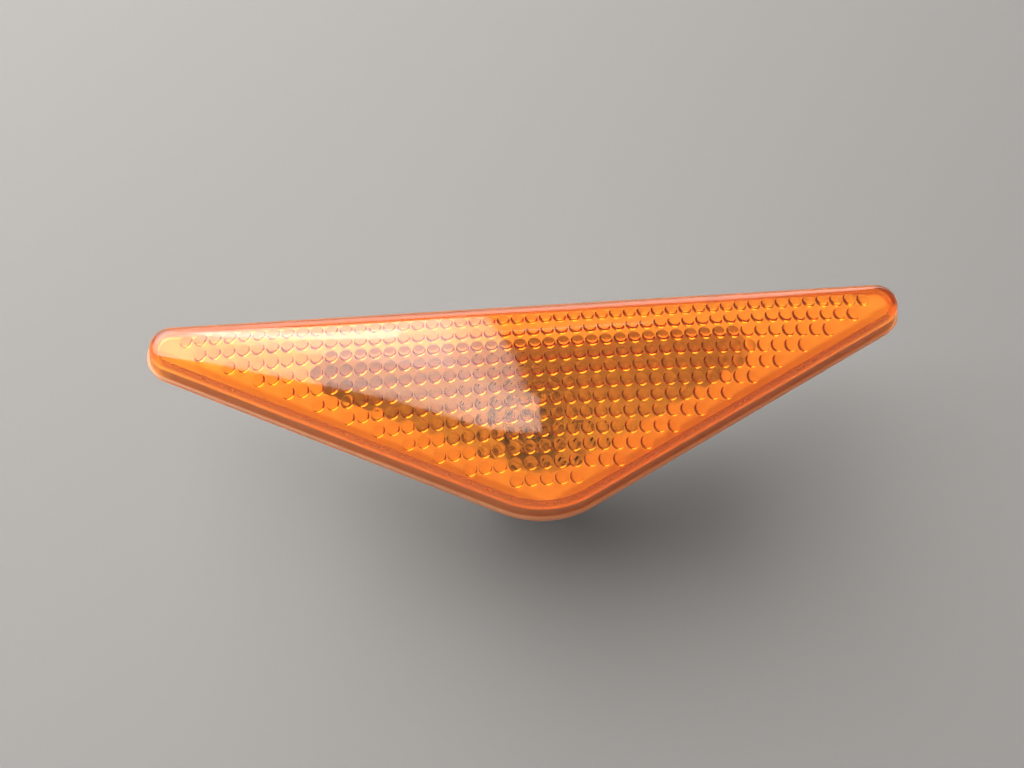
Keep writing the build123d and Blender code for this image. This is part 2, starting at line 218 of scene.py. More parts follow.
def amber_acrylic():
    """Moulded acrylic: glassy, with a trace of waviness from the mould, and worn at the rim."""
    tree, material = new_material("amber acrylic, moulded and polished")
    place = add_node(tree, "ShaderNodeTexCoord").outputs["Object"]
    wave = add_node(
        tree, "ShaderNodeTexNoise", {"Vector": place, "Scale": 1 / (wave_mm * MM), "Detail": 1.0}
    )
    haze = add_node(
        tree, "ShaderNodeTexNoise", {"Vector": place, "Scale": 1 / (haze_mm * MM), "Detail": 6.0}
    )
    rough = add_node(
        tree, "ShaderNodeMapRange",
        {
            "Value": haze.outputs["Fac"], "From Min": 0.35, "From Max": 0.75,
            "To Min": polished_roughness[0], "To Max": polished_roughness[1],
        },
    )
    frosted = add_node(tree, "ShaderNodeAttribute", attribute_name="frosted").outputs["Fac"]
    rough_all = add_node(
        tree, "ShaderNodeMath", {0: frosted, 1: frost_roughness, 2: rough.outputs["Result"]},
        operation="MULTIPLY_ADD",
    )
    bump = add_node(
        tree, "ShaderNodeBump",
        {"Height": wave.outputs["Fac"], "Strength": 0.25, "Distance": wave_depth_mm * MM},
    )
    clear = add_node(
        tree, "ShaderNodeBsdfPrincipled",
        {
            "Base Color": (1, 1, 1, 1), "IOR": acrylic_ior, "Transmission Weight": 1.0,
            "Roughness": rough_all.outputs[0], "Normal": bump.outputs["Normal"],
        },
    )
    scratches = add_node(tree, "ShaderNodeBsdfDiffuse", {"Color": linear(worn_colour)})
    within = add_node(tree, "ShaderNodeNewGeometry").outputs["Backfacing"]
    outside = add_node(tree, "ShaderNodeMapRange", {"Value": within, "To Min": wear_scatter, "To Max": 0.0})
    wear = add_node(
        tree, "ShaderNodeMath", {0: frosted, 1: outside.outputs["Result"]}, operation="MULTIPLY"
    )
    plastic = add_node(
        tree, "ShaderNodeMixShader",
        {0: wear.outputs[0], 1: clear.outputs["BSDF"], 2: scratches.outputs["BSDF"]},
    )
    dye = add_node(
        tree, "ShaderNodeVolumeAbsorption",
        {
            "Color": absorption_colour(amber_through_2mm, 2 * MM, absorption_density),
            "Density": absorption_density,
        },
    )
    surface = open_to_lamps(tree, plastic.outputs["Shader"])
    add_node(tree, "ShaderNodeOutputMaterial", {"Surface": surface, "Volume": dye.outputs["Volume"]})
    return material


amber = amber_acrylic()
print("lens material:", amber.name)

# %% [markdown]
# ## The other materials
#
# The housing is moulded in pale grey plastic with a fine eroded grain. It has to be pale, because the
# pocket shines orange through the lens. The holder is pale grey glass-filled nylon, the gasket is
# grey closed-cell foam and the seal is soft rubber. These four differ only in colours, grain size and
# gloss, so one function makes them all: a grain for the bump, and slow clouds between two colours.

# %% Moulded plastics, foam and rubber
cloud_mm = 11.0
plastic_ior = 1.52
gloss_spread = 0.1


def grained(name, dark, light, grain_mm, depth_mm, roughness):
    """A dull solid: a grain of the given size and depth, mottled with slow clouds between two colours."""
    tree, material = new_material(name)
    place = add_node(tree, "ShaderNodeTexCoord").outputs["Object"]
    cloud = add_node(
        tree, "ShaderNodeTexNoise", {"Vector": place, "Scale": 1 / (cloud_mm * MM), "Detail": 5.0}
    )
    grain = add_node(
        tree, "ShaderNodeTexNoise", {"Vector": place, "Scale": 1 / (grain_mm * MM), "Detail": 3.0}
    )
    mottle = add_node(
        tree, "ShaderNodeMath", {0: cloud.outputs["Fac"], 1: grain.outputs["Fac"]}, operation="ADD"
    )
    share = add_node(
        tree, "ShaderNodeMapRange", {"Value": mottle.outputs[0], "From Min": 0.65, "From Max": 1.35}
    )
    colour = add_node(
        tree, "ShaderNodeMix", {0: share.outputs["Result"], 6: linear(dark), 7: linear(light)},
        data_type="RGBA",
    )
    shine = add_node(
        tree, "ShaderNodeMapRange",
        {
            "Value": grain.outputs["Fac"],
            "To Min": roughness - gloss_spread, "To Max": roughness + gloss_spread,
        },
    )
    bump = add_node(
        tree, "ShaderNodeBump",
        {"Height": grain.outputs["Fac"], "Strength": 0.6, "Distance": depth_mm * MM},
    )
    solid = add_node(
        tree, "ShaderNodeBsdfPrincipled",
        {
            "Base Color": colour.outputs[2], "IOR": plastic_ior, "Roughness": shine.outputs["Result"],
            "Normal": bump.outputs["Normal"],
        },
    )
    add_node(tree, "ShaderNodeOutputMaterial", {"Surface": solid.outputs["BSDF"]})
    return material


# Real grains are about half as wide as these, too fine to show from arm's length.
# The eroded mould leaves the housing softly matt. Stray fibres leave the nylon patchy and a little shinier.
pale_plastic = grained("pale grey ABS, spark-eroded grain", "#E5E2DB", "#F0EDE6", 0.6, 0.04, 0.5)
grey_nylon = grained("pale grey glass-filled nylon, moulded", "#DCD9D3", "#E9E6E0", 0.5, 0.05, 0.46)
# Cut cells leave the foam's edge full of small pits, and the silicone is smooth and dully black.
grey_foam = grained("grey closed-cell foam, die-cut", "#807D78", "#A9A6A1", 0.7, 0.2, 0.88)
soft_rubber = grained("black silicone rubber, moulded", "#141516", "#27282A", 0.6, 0.03, 0.6)
print("dull materials:", pale_plastic.name, grey_nylon.name, grey_foam.name, soft_rubber.name, sep="\n  ")

# %% [markdown]
# Metals and clear glass come next. The contacts are stamped from rolled brass, and rolling leaves fine
# lines along the strip. The bulb's leads are drawn wire, and its filament is grey tungsten. A noise
# that is stretched along the strip draws those lines.

# %% Metals and clear glass
line_stretch = 20
line_depth_mm = 0.01
glass_ior = 1.52
glass_flow_mm = 5.0
glass_flow_depth_mm = 0.05


def drawn_metal(name, colour, line_mm, roughness):
    """A metal with fine lines along Z, as rolling and drawing leave."""
    tree, material = new_material(name)
    place = add_node(tree, "ShaderNodeTexCoord").outputs["Object"]
    along = add_node(tree, "ShaderNodeMapping", {"Vector": place, "Scale": (1, 1, 1 / line_stretch)})
    lines = add_node(
        tree, "ShaderNodeTexNoise",
        {"Vector": along.outputs["Vector"], "Scale": 1 / (line_mm * MM), "Detail": 4.0},
    )
    shine = add_node(
        tree, "ShaderNodeMapRange",
        {"Value": lines.outputs["Fac"], "To Min": roughness - 0.08, "To Max": roughness + 0.12},
    )
    bump = add_node(
        tree, "ShaderNodeBump",
        {"Height": lines.outputs["Fac"], "Strength": 0.3, "Distance": line_depth_mm * MM},
    )
    metal = add_node(
        tree, "ShaderNodeBsdfPrincipled",
        {
            "Base Color": linear(colour), "Metallic": 1.0, "Roughness": shine.outputs["Result"],
            "Normal": bump.outputs["Normal"],
        },
    )
    add_node(tree, "ShaderNodeOutputMaterial", {"Surface": metal.outputs["BSDF"]})
    return material


def clear_glass():
    """Blown soda-lime glass, clear and very smooth, which lets lamp rays through."""
    tree, material = new_material("clear soda-lime glass, blown")
    place = add_node(tree, "ShaderNodeTexCoord").outputs["Object"]
    flow = add_node(
        tree, "ShaderNodeTexNoise", {"Vector": place, "Scale": 1 / (glass_flow_mm * MM), "Detail": 1.0}
    )
    bump = add_node(
        tree, "ShaderNodeBump",
        {"Height": flow.outputs["Fac"], "Strength": 0.2, "Distance": glass_flow_depth_mm * MM},
    )
    glass = add_node(
        tree, "ShaderNodeBsdfPrincipled",
        {
            "Base Color": (1, 1, 1, 1), "IOR": glass_ior, "Transmission Weight": 1.0, "Roughness": 0.01,
            "Normal": bump.outputs["Normal"],
        },
    )
    add_node(tree, "ShaderNodeOutputMaterial", {"Surface": open_to_lamps(tree, glass.outputs["BSDF"])})
    return material


rolled_brass = drawn_metal("rolled brass strip, stamped", "#C9A663", 0.12, 0.3)
nickel_wire = drawn_metal("nickel-plated wire, drawn", "#B9B4AA", 0.1, 0.3)
tungsten = drawn_metal("tungsten wire, coiled", "#6F6C6A", 0.05, 0.42)
bulb_glass = clear_glass()
print("metals and glass:", rolled_brass.name, nickel_wire.name, tungsten.name, bulb_glass.name, sep="\n  ")

# %% [markdown]
# ## The outline of the lamp
#
# Every level of the lens is the same rounded triangle, inset by some distance or scaled about the bulb's
# axis. Seen from the front it has two tight tips and one wide blunt point, with straight edges between.
# The function below walks round it clockwise with a fixed number of points, so that any two levels can
# be joined by a band of four-sided faces.

# %% Outline, level by level
lens_low, lens_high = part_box("lens")
lamp_length = (lens_high.x - lens_low.x) / MM
lamp_width = 34.8
tip_radius = 4.5
point_radius = 16.0

tip_x = lamp_length / 2 - tip_radius
tip_y = lamp_width / 2 - tip_radius
point_y = point_radius - lamp_width / 2
reach_to_tip = math.hypot(tip_x, tip_y - point_y)
side_slope = math.atan2(tip_y - point_y, tip_x) + math.asin((point_radius - tip_radius) / reach_to_tip)
side_normal = Vector((math.sin(side_slope), -math.cos(side_slope)))
side_distance = side_normal.y * point_y + point_radius
corner_steps = 24
# Two lower edges, then the long edge.
edge_steps = (34, 34, 60)


def polar(turn, radius):
    """Return the flat point at a turn and a distance from the middle."""
    return Vector((math.cos(turn), math.sin(turn))) * radius


def outline(inset):
    """Return the points of the rounded triangle in mm, clockwise from the right-hand tip."""
    quarter = math.pi / 2
    corners = (
        ((tip_x, tip_y), tip_radius, quarter, side_slope - math.pi),
        ((0, point_y), point_radius, side_slope - quarter, -2 * side_slope),
        ((-tip_x, tip_y), tip_radius, -quarter - side_slope, side_slope - math.pi),
    )
    arcs = []
    for centre, radius, start, sweep in corners:
        turns = [start + sweep * step / corner_steps for step in range(corner_steps + 1)]
        arcs.append([Vector(centre) + polar(turn, radius - inset) for turn in turns])
    points = []
    for arc, following, steps in zip(arcs, arcs[1:] + arcs[:1], edge_steps):
        points += arc
        points += [arc[-1].lerp(following[0], step / steps) for step in range(1, steps)]
    return points


def softness(point, inset):
    """Return how far a point is towards the three edges, with the corners between them eased."""
    left_and_right = Vector((side_normal.x, 0)).dot(point)
    down = side_normal.y * point.y
    shares = (
        point.y / (lamp_width / 2 - inset),
        (left_and_right + down) / (side_distance - inset),
        (down - left_and_right) / (side_distance - inset),
    )
    return sum(max(share, 0) ** 3 for share in shares) ** (1 / 3)


print("outline of", len(outline(0)), "points, lower edges slope", round(math.degrees(side_slope)), "degrees")

# %% [markdown]
# ## The shell of the lens
#
# The lens is a thin dish. From the back it goes up a skirt, over a narrow ledge, up a slightly leaning
# wall, round a shoulder and over a low dome. Inside it comes down to the step that takes the housing's
# plate. Each pair in the profiles below is an inset and a level, and the small extra pairs round the
# edges that catch the light. Where the lens rests on another piece, a gap as thin as paper is left: a
# path tracer needs it to tell the two faces apart.

# %% Levels of the lens
skirt_height = 0.9
skirt_wall = 2.0
ledge_width = 0.5
wall_height = 2.5
wall_lean = math.radians(16)
shoulder_run = 1.8
shoulder_rise = 1.7
shoulder_turn = math.radians(65)
shoulder_steps = 9
rim_thickness = 2.2
rim_frost = 0.6
face_thickness = 2.0
plate_step = 1.8
contact_gap = 0.03
dome_steps = 26

skirt_back = lens_low.z / MM
ledge_z = skirt_back + skirt_height
wall_top = ledge_z + wall_height
wall_inset = ledge_width + wall_height * math.tan(wall_lean)
face_z = wall_top + shoulder_rise * math.sin(shoulder_turn)
face_inset = wall_inset + shoulder_run * (1 - math.cos(shoulder_turn))
dome_rise = lens_high.z / MM - face_z
core_inset = ledge_width + rim_thickness
core_face = face_z - face_thickness
plate_front = skirt_back + plate_step

# A rounded edge, the point half way round it, and the ends of the fillet between ledge and wall.
edge_round = 0.16
half_way = 0.29 * edge_round
fillet_foot = 0.4 * edge_round
fillet_top = 1.6 * edge_round

step_inset = skirt_wall - contact_gap
step_z = plate_front + contact_gap
back_z = skirt_back + contact_gap
back_profile = [
    (core_inset, core_face), (core_inset, step_z), (step_inset, step_z), (step_inset, back_z),
    (edge_round, back_z),
]
skirt_profile = [
    (0, skirt_back + edge_round), (0, ledge_z - edge_round), (half_way, ledge_z - half_way),
    (edge_round, ledge_z), (ledge_width - edge_round, ledge_z), (ledge_width, ledge_z + fillet_foot),
    (ledge_width + fillet_foot, ledge_z + fillet_top),
]
shoulder_profile = []
for step in range(2, shoulder_steps + 1):
    turn = shoulder_turn * step / shoulder_steps
    inset = wall_inset + shoulder_run * (1 - math.cos(turn))
    shoulder_profile.append((inset, wall_top + shoulder_rise * math.sin(turn)))
profile = back_profile + skirt_profile + shoulder_profile
print("face starts", round(face_z, 2), "mm above the panel and crowns at", round(face_z + dome_rise, 2))

# %% [markdown]
# Bands of faces join the levels, and a dome closes the front. The same dome, drawn a second time at the
# inner level, is kept as a guide for the pillows.

# %% Bands of faces
guide_spare = 1.02


def ring_of(bm, inset, z, scale=1.0):
    """Add one level of the lens and return its vertices. Small levels have softer corners."""
    ring = []
    for point in outline(inset):
        ease = 1 + (softness(point, inset) - 1) * (1 - scale ** 2)
        ring.append(bm.verts.new((point * (scale / ease) * MM).to_3d() + Vector((0, 0, z * MM))))
    return ring


def bridge(bm, first, second):
    """Join two levels by a band of four-sided faces, and return the faces."""
    corners = [(first[i - 1], first[i], second[i], second[i - 1]) for i in range(len(first))]
    return [bm.faces.new(corner) for corner in corners]


def add_dome(bm, edge, inset, foot, first_scale, steps):
    """Add a dome on a level: smaller and smaller outlines, and a fan to its crown."""
    for step in range(1, steps):
        scale = first_scale * (1 - step / steps)
        level = ring_of(bm, inset, foot + dome_rise * (1 - scale ** 2), scale)
        bridge(bm, edge, level)
        edge = level
    crown = bm.verts.new((0, 0, (foot + dome_rise) * MM))
    for index in range(len(edge)):
        bm.faces.new((edge[index - 1], edge[index], crown))


def lens_shell():
    """Return the lens without its inner face."""
    bm = bmesh.new()
    levels = [ring_of(bm, inset, z) for inset, z in profile]
    frosted = bm.faces.layers.float.new("frosted")
    for step, (lower, upper) in enumerate(zip(levels, levels[1:]), 1):
        # The frost fades out over the upper half of the shoulder.
        to_face = (len(levels) - step) / shoulder_steps
        amount = 1.0 if step < len(back_profile) else rim_frost * min(1.0, 2 * to_face)
        for face in bridge(bm, lower, upper):
            face[frosted] = amount
    add_dome(bm, levels[-1], face_inset, face_z, 1.0, dome_steps)
    return bm


def roof_guide():
    """Return the plain inner dome, a little wider than the inner face, as a guide to drop points on."""
    bm = bmesh.new()
    foot = ring_of(bm, core_inset, core_face + dome_rise * (1 - guide_spare ** 2), guide_spare)
    add_dome(bm, foot, core_inset, core_face, guide_spare, 2 * dome_steps)
    return mesh_from(bm, "roof_guide")


print("profile of", len(profile), "levels and a dome of", dome_steps)

# %% [markdown]
# ## The pillows
#
# The inner face carries rows of round pillows, each a low bump of clear plastic that points into the lamp
# and spreads the bulb's light. They are what makes the lens glitter. Loose bumps that merely touch the
# face would leave a false surface inside the plastic, so the inner face is one sheet: flat at first, with
# a round hole for each pillow. The seats are a square grid, kept clear of the edges.

# %% Seats, and a flat sheet with a hole at each
pillow_pitch_x = 2.21
pillow_pitch_y = 2.30
pillow_radius = 1.03
pillow_edge_slope = 50.0
pillow_sides = 16
pillow_rings = 5
first_row_y = lamp_width / 2 - 3.9
half_row = 24
margin_at_point = 3.78
margin_growth = 0.0075
rim_clearance = 0.06
# Loose points near the rim keep the sheet's triangles short there.
support_insets = (3.2, 4.0, 5.0)
support_clearance = 1.2 * pillow_radius
sheet_tolerance = 1e-5


def clears_lower_edges(x, y):
    """Say whether a seat keeps its margin from the two lower edges, which grows towards the tips."""
    clearance = side_distance - side_normal.x * abs(x) - side_normal.y * y
    return clearance > margin_at_point + margin_growth * abs(x)


def distance_to(spot, others):
    """Return the distance from a spot to the nearest of the others."""
    return min((spot - other).length for other in others)


columns = range(-half_row, half_row + 1)
rows = range(int(lamp_width / pillow_pitch_y))
grid = [(column * pillow_pitch_x, first_row_y - row * pillow_pitch_y) for row in rows for column in columns]
inside = [Vector(spot) for spot in grid if clears_lower_edges(*spot)]
rim = outline(core_inset)
seats = [seat for seat in inside if distance_to(seat, rim) > pillow_radius + rim_clearance]


def flat_sheet():
    """Return the flat inner face: triangles between the outline and the rims of the pillows."""
    points = list(rim)
    edges = [(index, (index + 1) % len(points)) for index in range(len(points))]
    for inset in support_insets:
        support = [spot for spot in outline(inset) if distance_to(spot, seats) > support_clearance]
        points += support[::2]
    owner = [-1] * len(points)
    for number, seat in enumerate(seats):
        start = len(points)
        for side in range(pillow_sides):
            points.append(seat + polar(2 * math.pi * side / pillow_sides, pillow_radius))
            edges.append((start + side, start + (side + 1) % pillow_sides))
            owner.append(number)
    spots, _, faces, sources, _, _ = delaunay_2d_cdt(points, edges, [], 1, sheet_tolerance)
    belongs = [owner[source[0]] if source else -1 for source in sources]
    # A triangle with all its corners on one pillow's rim lies in that pillow's hole.
    kept = [face for face in faces if len({belongs[v] for v in face}) > 1 or belongs[face[0]] == -1]
    mesh = bpy.data.meshes.new("flat_sheet")
    mesh.from_pydata([(spot.x * MM, spot.y * MM, 0) for spot in spots], [], kept)
    return mesh


def seats_object(name, places_mm):
    """Return an object of loose points for a tree to set copies on."""
    mesh = bpy.data.meshes.new(name)
    mesh.from_pydata([[part * MM for part in place] for place in places_mm], [], [])
    return new_object(name, mesh)


pillow_seats = seats_object("pillow_seats", [(*seat, 0) for seat in seats])
roof = new_object("roof_guide", roof_guide())
sheet = new_object("inner_face", flat_sheet())
print(len(seats), "pillows, and a flat sheet of", len(sheet.data.polygons), "triangles")

# %% [markdown]
# Geometry Nodes then do the repeating. The tree bends a small grid into one round pillow, sets a copy of
# it in every hole, welds the copies to the sheet, and lifts everything on to the dome by casting a ray
# upwards from each point. The sizes are named inputs, so another pitch or height needs no new tree.

# %% A tree that sets the pillows
seam_weld = 1e-6
hole_weld = 2e-6


def new_tree(name, inputs, output):
    """Return a node group with named inputs, each of the given kind, and one geometry output."""
    tree = bpy.data.node_groups.new(name, "GeometryNodeTree")
    for label, kind in inputs.items():
        tree.interface.new_socket(name=label, in_out="INPUT", socket_type="NodeSocket" + kind)
    tree.interface.new_socket(name=output, in_out="OUTPUT", socket_type="NodeSocketGeometry")
    return tree


def use_tree(thing, tree, values):
    """Run a node group on an object, with its inputs found by name and set by their identifiers."""
    modifier = thing.modifiers.new(tree.name, "NODES")
    modifier.node_group = tree
    for item in tree.interface.items_tree:
        if item.name in values:
            modifier[item.identifier] = values[item.name]


def pillow_tree():
    """Pillows in the holes of a flat sheet, lifted on to a roof."""
    inputs = {
        "Sheet": "Geometry", "Seats": "Object", "Roof": "Object", "Radius": "Float", "Edge slope": "Float",
        "Sides": "Int", "Rings": "Int", "Material": "Material",
    }
    tree = new_tree("pillowed face", inputs, "Face")
    given = add_node(tree, "NodeGroupInput").outputs
    slope = given["Edge slope"]
    across = add_node(tree, "ShaderNodeMath", {0: given["Sides"], 1: 1.0}, operation="ADD")
    along = add_node(tree, "ShaderNodeMath", {0: given["Rings"], 1: 1.0}, operation="ADD")
    flat = add_node(
        tree, "GeometryNodeMeshGrid",
        {"Size X": 1.0, "Size Y": 1.0, "Vertices X": across.outputs[0], "Vertices Y": along.outputs[0]},
    )
    here = add_node(tree, "GeometryNodeInputPosition").outputs[0]
    spot = add_node(tree, "ShaderNodeSeparateXYZ", {0: here})
    turn = add_node(tree, "ShaderNodeMath", {0: spot.outputs["X"], 1: 2 * math.pi}, operation="MULTIPLY")
    share = add_node(tree, "ShaderNodeMath", {0: spot.outputs["Y"], 1: 0.5}, operation="ADD")
    tilt = add_node(tree, "ShaderNodeMath", {0: share.outputs[0], 1: slope}, operation="MULTIPLY")
    edge_sine = add_node(tree, "ShaderNodeMath", {0: slope}, operation="SINE")
    edge_cosine = add_node(tree, "ShaderNodeMath", {0: slope}, operation="COSINE")
    ball = add_node(
        tree, "ShaderNodeMath", {0: given["Radius"], 1: edge_sine.outputs[0]}, operation="DIVIDE"
    )
    sine = add_node(tree, "ShaderNodeMath", {0: tilt.outputs[0]}, operation="SINE")
    cosine = add_node(tree, "ShaderNodeMath", {0: tilt.outputs[0]}, operation="COSINE")
    reach = add_node(tree, "ShaderNodeMath", {0: ball.outputs[0], 1: sine.outputs[0]}, operation="MULTIPLY")
    east = add_node(tree, "ShaderNodeMath", {0: turn.outputs[0]}, operation="COSINE")
    north = add_node(tree, "ShaderNodeMath", {0: turn.outputs[0]}, operation="SINE")
    x = add_node(tree, "ShaderNodeMath", {0: east.outputs[0], 1: reach.outputs[0]}, operation="MULTIPLY")
    y = add_node(tree, "ShaderNodeMath", {0: north.outputs[0], 1: reach.outputs[0]}, operation="MULTIPLY")
    drop = add_node(
        tree, "ShaderNodeMath", {0: edge_cosine.outputs[0], 1: cosine.outputs[0]}, operation="SUBTRACT"
    )
    z = add_node(tree, "ShaderNodeMath", {0: drop.outputs[0], 1: ball.outputs[0]}, operation="MULTIPLY")
    bent = add_node(tree, "ShaderNodeCombineXYZ", {0: x.outputs[0], 1: y.outputs[0], 2: z.outputs[0]})
    pillow = add_node(
        tree, "GeometryNodeSetPosition", {"Geometry": flat.outputs["Mesh"], "Position": bent.outputs[0]}
    )
    closed = add_node(
        tree, "GeometryNodeMergeByDistance", {"Geometry": pillow.outputs[0], "Distance": seam_weld}
    )
    seats_info = add_node(tree, "GeometryNodeObjectInfo", {"Object": given["Seats"]})
    copies = add_node(
        tree, "GeometryNodeInstanceOnPoints",
        {"Points": seats_info.outputs["Geometry"], "Instance": closed.outputs[0]},
    )
    real = add_node(tree, "GeometryNodeRealizeInstances", {"Geometry": copies.outputs[0]})
    both = add_node(tree, "GeometryNodeJoinGeometry", {"Geometry": real.outputs[0]})
    tree.links.new(given["Sheet"], both.inputs["Geometry"])
    whole = add_node(
        tree, "GeometryNodeMergeByDistance", {"Geometry": both.outputs[0], "Distance": hole_weld}
    )
    roof_info = add_node(tree, "GeometryNodeObjectInfo", {"Object": given["Roof"]})
    ray = add_node(
        tree, "GeometryNodeRaycast",
        {
            "Target Geometry": roof_info.outputs["Geometry"], "Source Position": here,
            "Ray Direction": (0, 0, 1), "Ray Length": 1.0,
        },
    )
    hit = add_node(tree, "ShaderNodeSeparateXYZ", {0: ray.outputs["Hit Position"]})
    up = add_node(tree, "ShaderNodeMath", {0: hit.outputs["Z"], 1: spot.outputs["Z"]}, operation="ADD")
    lifted = add_node(
        tree, "ShaderNodeCombineXYZ", {0: spot.outputs["X"], 1: spot.outputs["Y"], 2: up.outputs[0]}
    )
    domed = add_node(
        tree, "GeometryNodeSetPosition", {"Geometry": whole.outputs[0], "Position": lifted.outputs[0]}
    )
    dressed = add_node(
        tree, "GeometryNodeSetMaterial", {"Geometry": domed.outputs[0], "Material": given["Material"]}
    )
    add_node(tree, "NodeGroupOutput", {"Face": dressed.outputs[0]})
    return tree


use_tree(
    sheet, pillow_tree(),
    {
        "Seats": pillow_seats, "Roof": roof, "Radius": pillow_radius * MM,
        "Edge slope": math.radians(pillow_edge_slope), "Sides": pillow_sides, "Rings": pillow_rings,
        "Material": amber,
    },
)
pillowed = plain_mesh(sheet, "pillowed_face")
print("pillowed face of", len(pillowed.polygons), "faces")

# %% [markdown]
# The shell and the pillowed face share one edge, so welding them closes the lens. A closed surface
# matters here, because the dye is a volume: it has to know where the plastic starts and ends.

# %% Weld the lens
shell_weld_mm = 0.005
lens_crease = 24


def weld_lens():
    """Return the whole lens as one closed mesh."""
    bm = lens_shell()
    bm.from_mesh(pillowed)
    bmesh.ops.remove_doubles(bm, verts=bm.verts, dist=shell_weld_mm * MM)
    bmesh.ops.recalc_face_normals(bm, faces=bm.faces)
    open_edges = sum(1 for edge in bm.edges if not edge.is_manifold)
    print("welded lens has", open_edges, "open edges")
    return mesh_from(bm, "amber_lens", lens_crease)


amber_lens = new_object("amber_lens", weld_lens())
dress(amber_lens, amber)
for helper in (sheet, pillow_seats, roof):
    bpy.data.objects.remove(helper)
finish_piece(amber_lens, "lamp", "amber_lens", "lens")

# %% [markdown]
# ## The bulb
#
# A capless bulb is a blown glass envelope that is pinched flat at its base. Half of its section is drawn
# as a line of radius and level, from the crown down to the base, and spun about the bulb's axis. A
# smaller copy of that line makes the cavity.

# %% Spun glass
bulb_low, bulb_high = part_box("bulb_glass")
bulb_radius = (bulb_high.x - bulb_low.x) / MM / 2
bulb_tip = bulb_high.z / MM
pinch_end = bulb_low.z / MM
pinch_top = pinch_end + 8.6
pinch_size = (9.5, 2.1, 8.5)
pinch_round = 0.4
glass_wall = 0.6
neck_radius = 3.1
cavity_neck_radius = 2.4
neck_rise = 2.4
crown_steps = 12
neck_steps = 8
spin_steps = 48
bulb_crease = 40


def envelope(radius, tip, base, foot):
    """Return half a section of the envelope in mm, from its crown down to the middle of its base."""
    line = []
    for step in range(crown_steps + 1):
        turn = math.pi / 2 * (1 - step / crown_steps)
        line.append((radius * math.cos(turn), tip - radius + radius * math.sin(turn)))
    for step in range(1, neck_steps + 1):
        share = step / neck_steps
        ease = share * share * (3 - 2 * share)
        line.append((radius + (foot - radius) * ease, base + neck_rise * (1 - share)))
    return line + [(0.0, base)]


def spin(bm, line, steps):
    """Turn a line that starts and ends on the axis into a closed surface."""
    first = bm.verts.new((0, 0, line[0][1] * MM))
    last = bm.verts.new((0, 0, line[-1][1] * MM))
    turns = [2 * math.pi * step / steps for step in range(steps)]
    rings = []
    for radius, z in line[1:-1]:
        corners = [(radius * math.cos(turn) * MM, radius * math.sin(turn) * MM, z * MM) for turn in turns]
        rings.append([bm.verts.new(corner) for corner in corners])
    for above, below in zip(rings, rings[1:]):
        bridge(bm, above, below)
    for index in range(steps):
        bm.faces.new((first, rings[0][index], rings[0][index - 1]))
        bm.faces.new((last, rings[-1][index - 1], rings[-1][index]))


def blown_bulb():
    """Return the envelope with its cavity, and the pinched base under it."""
    bm = bmesh.new()
    spin(bm, envelope(bulb_radius, bulb_tip, pinch_top, neck_radius), spin_steps)
    bmesh.ops.recalc_face_normals(bm, faces=bm.faces)
    outside = set(bm.faces)
    inner_line = envelope(
        bulb_radius - glass_wall, bulb_tip - glass_wall, pinch_top + glass_wall, cavity_neck_radius
    )
    spin(bm, inner_line, spin_steps)
    cavity = [face for face in bm.faces if face not in outside]
    bmesh.ops.recalc_face_normals(bm, faces=cavity)
    bmesh.ops.reverse_faces(bm, faces=cavity)
    block = bmesh.ops.create_cube(bm, size=1.0)["verts"]
    bmesh.ops.scale(bm, verts=block, vec=Vector(pinch_size) * MM)
    bmesh.ops.translate(bm, verts=block, vec=Vector((0, 0, pinch_end + pinch_size[2] / 2)) * MM)
    edges = list({edge for vert in block for edge in vert.link_edges})
    bmesh.ops.bevel(bm, geom=edges, offset=pinch_round * MM, segments=3, profile=0.5, affect="EDGES")
    return mesh_from(bm, "blown_bulb", bulb_crease)


blown = new_object("blown_bulb", blown_bulb())
dress(blown, bulb_glass)
finish_piece(blown, "holder", "bulb_glass", "bulb_glass")

# %% [markdown]
# The filament is a fine coil between the two leads. A coil follows a rule, so Geometry Nodes draw it: a
# spiral curve, laid on its side, with a thin round wire along it.

# %% Coiled filament
coil_turns = 18.0
wire_radius = 0.05


def coil_tree():
    """A spiral of wire along X, round a given middle."""
    inputs = {
        "Turns": "Float", "Coil radius": "Float", "Length": "Float", "Wire radius": "Float",
        "Middle": "Vector", "Material": "Material",
    }
    tree = new_tree("coiled wire", inputs, "Wire")
    given = add_node(tree, "NodeGroupInput").outputs
    spiral = add_node(
        tree, "GeometryNodeCurveSpiral",
        {
            "Resolution": 14, "Rotations": given["Turns"], "Start Radius": given["Coil radius"],
            "End Radius": given["Coil radius"], "Height": given["Length"],
        },
    )
    half = add_node(tree, "ShaderNodeMath", {0: given["Length"], 1: -0.5}, operation="MULTIPLY")
    shift = add_node(tree, "ShaderNodeCombineXYZ", {2: half.outputs[0]})
    centred = add_node(
        tree, "GeometryNodeTransform", {"Geometry": spiral.outputs[0], "Translation": shift.outputs[0]}
    )
    laid = add_node(
        tree, "GeometryNodeTransform",
        {"Geometry": centred.outputs[0], "Translation": given["Middle"], "Rotation": (0, math.pi / 2, 0)},
    )
    round_wire = add_node(
        tree, "GeometryNodeCurvePrimitiveCircle", {"Resolution": 6, "Radius": given["Wire radius"]}
    )
    wire = add_node(
        tree, "GeometryNodeCurveToMesh",
        {"Curve": laid.outputs[0], "Profile Curve": round_wire.outputs[0], "Fill Caps": True},
    )
    real = add_node(tree, "GeometryNodeRealizeInstances", {"Geometry": wire.outputs[0]})
    dressed = add_node(
        tree, "GeometryNodeSetMaterial", {"Geometry": real.outputs[0], "Material": given["Material"]}
    )
    add_node(tree, "NodeGroupOutput", {"Wire": dressed.outputs[0]})
    return tree


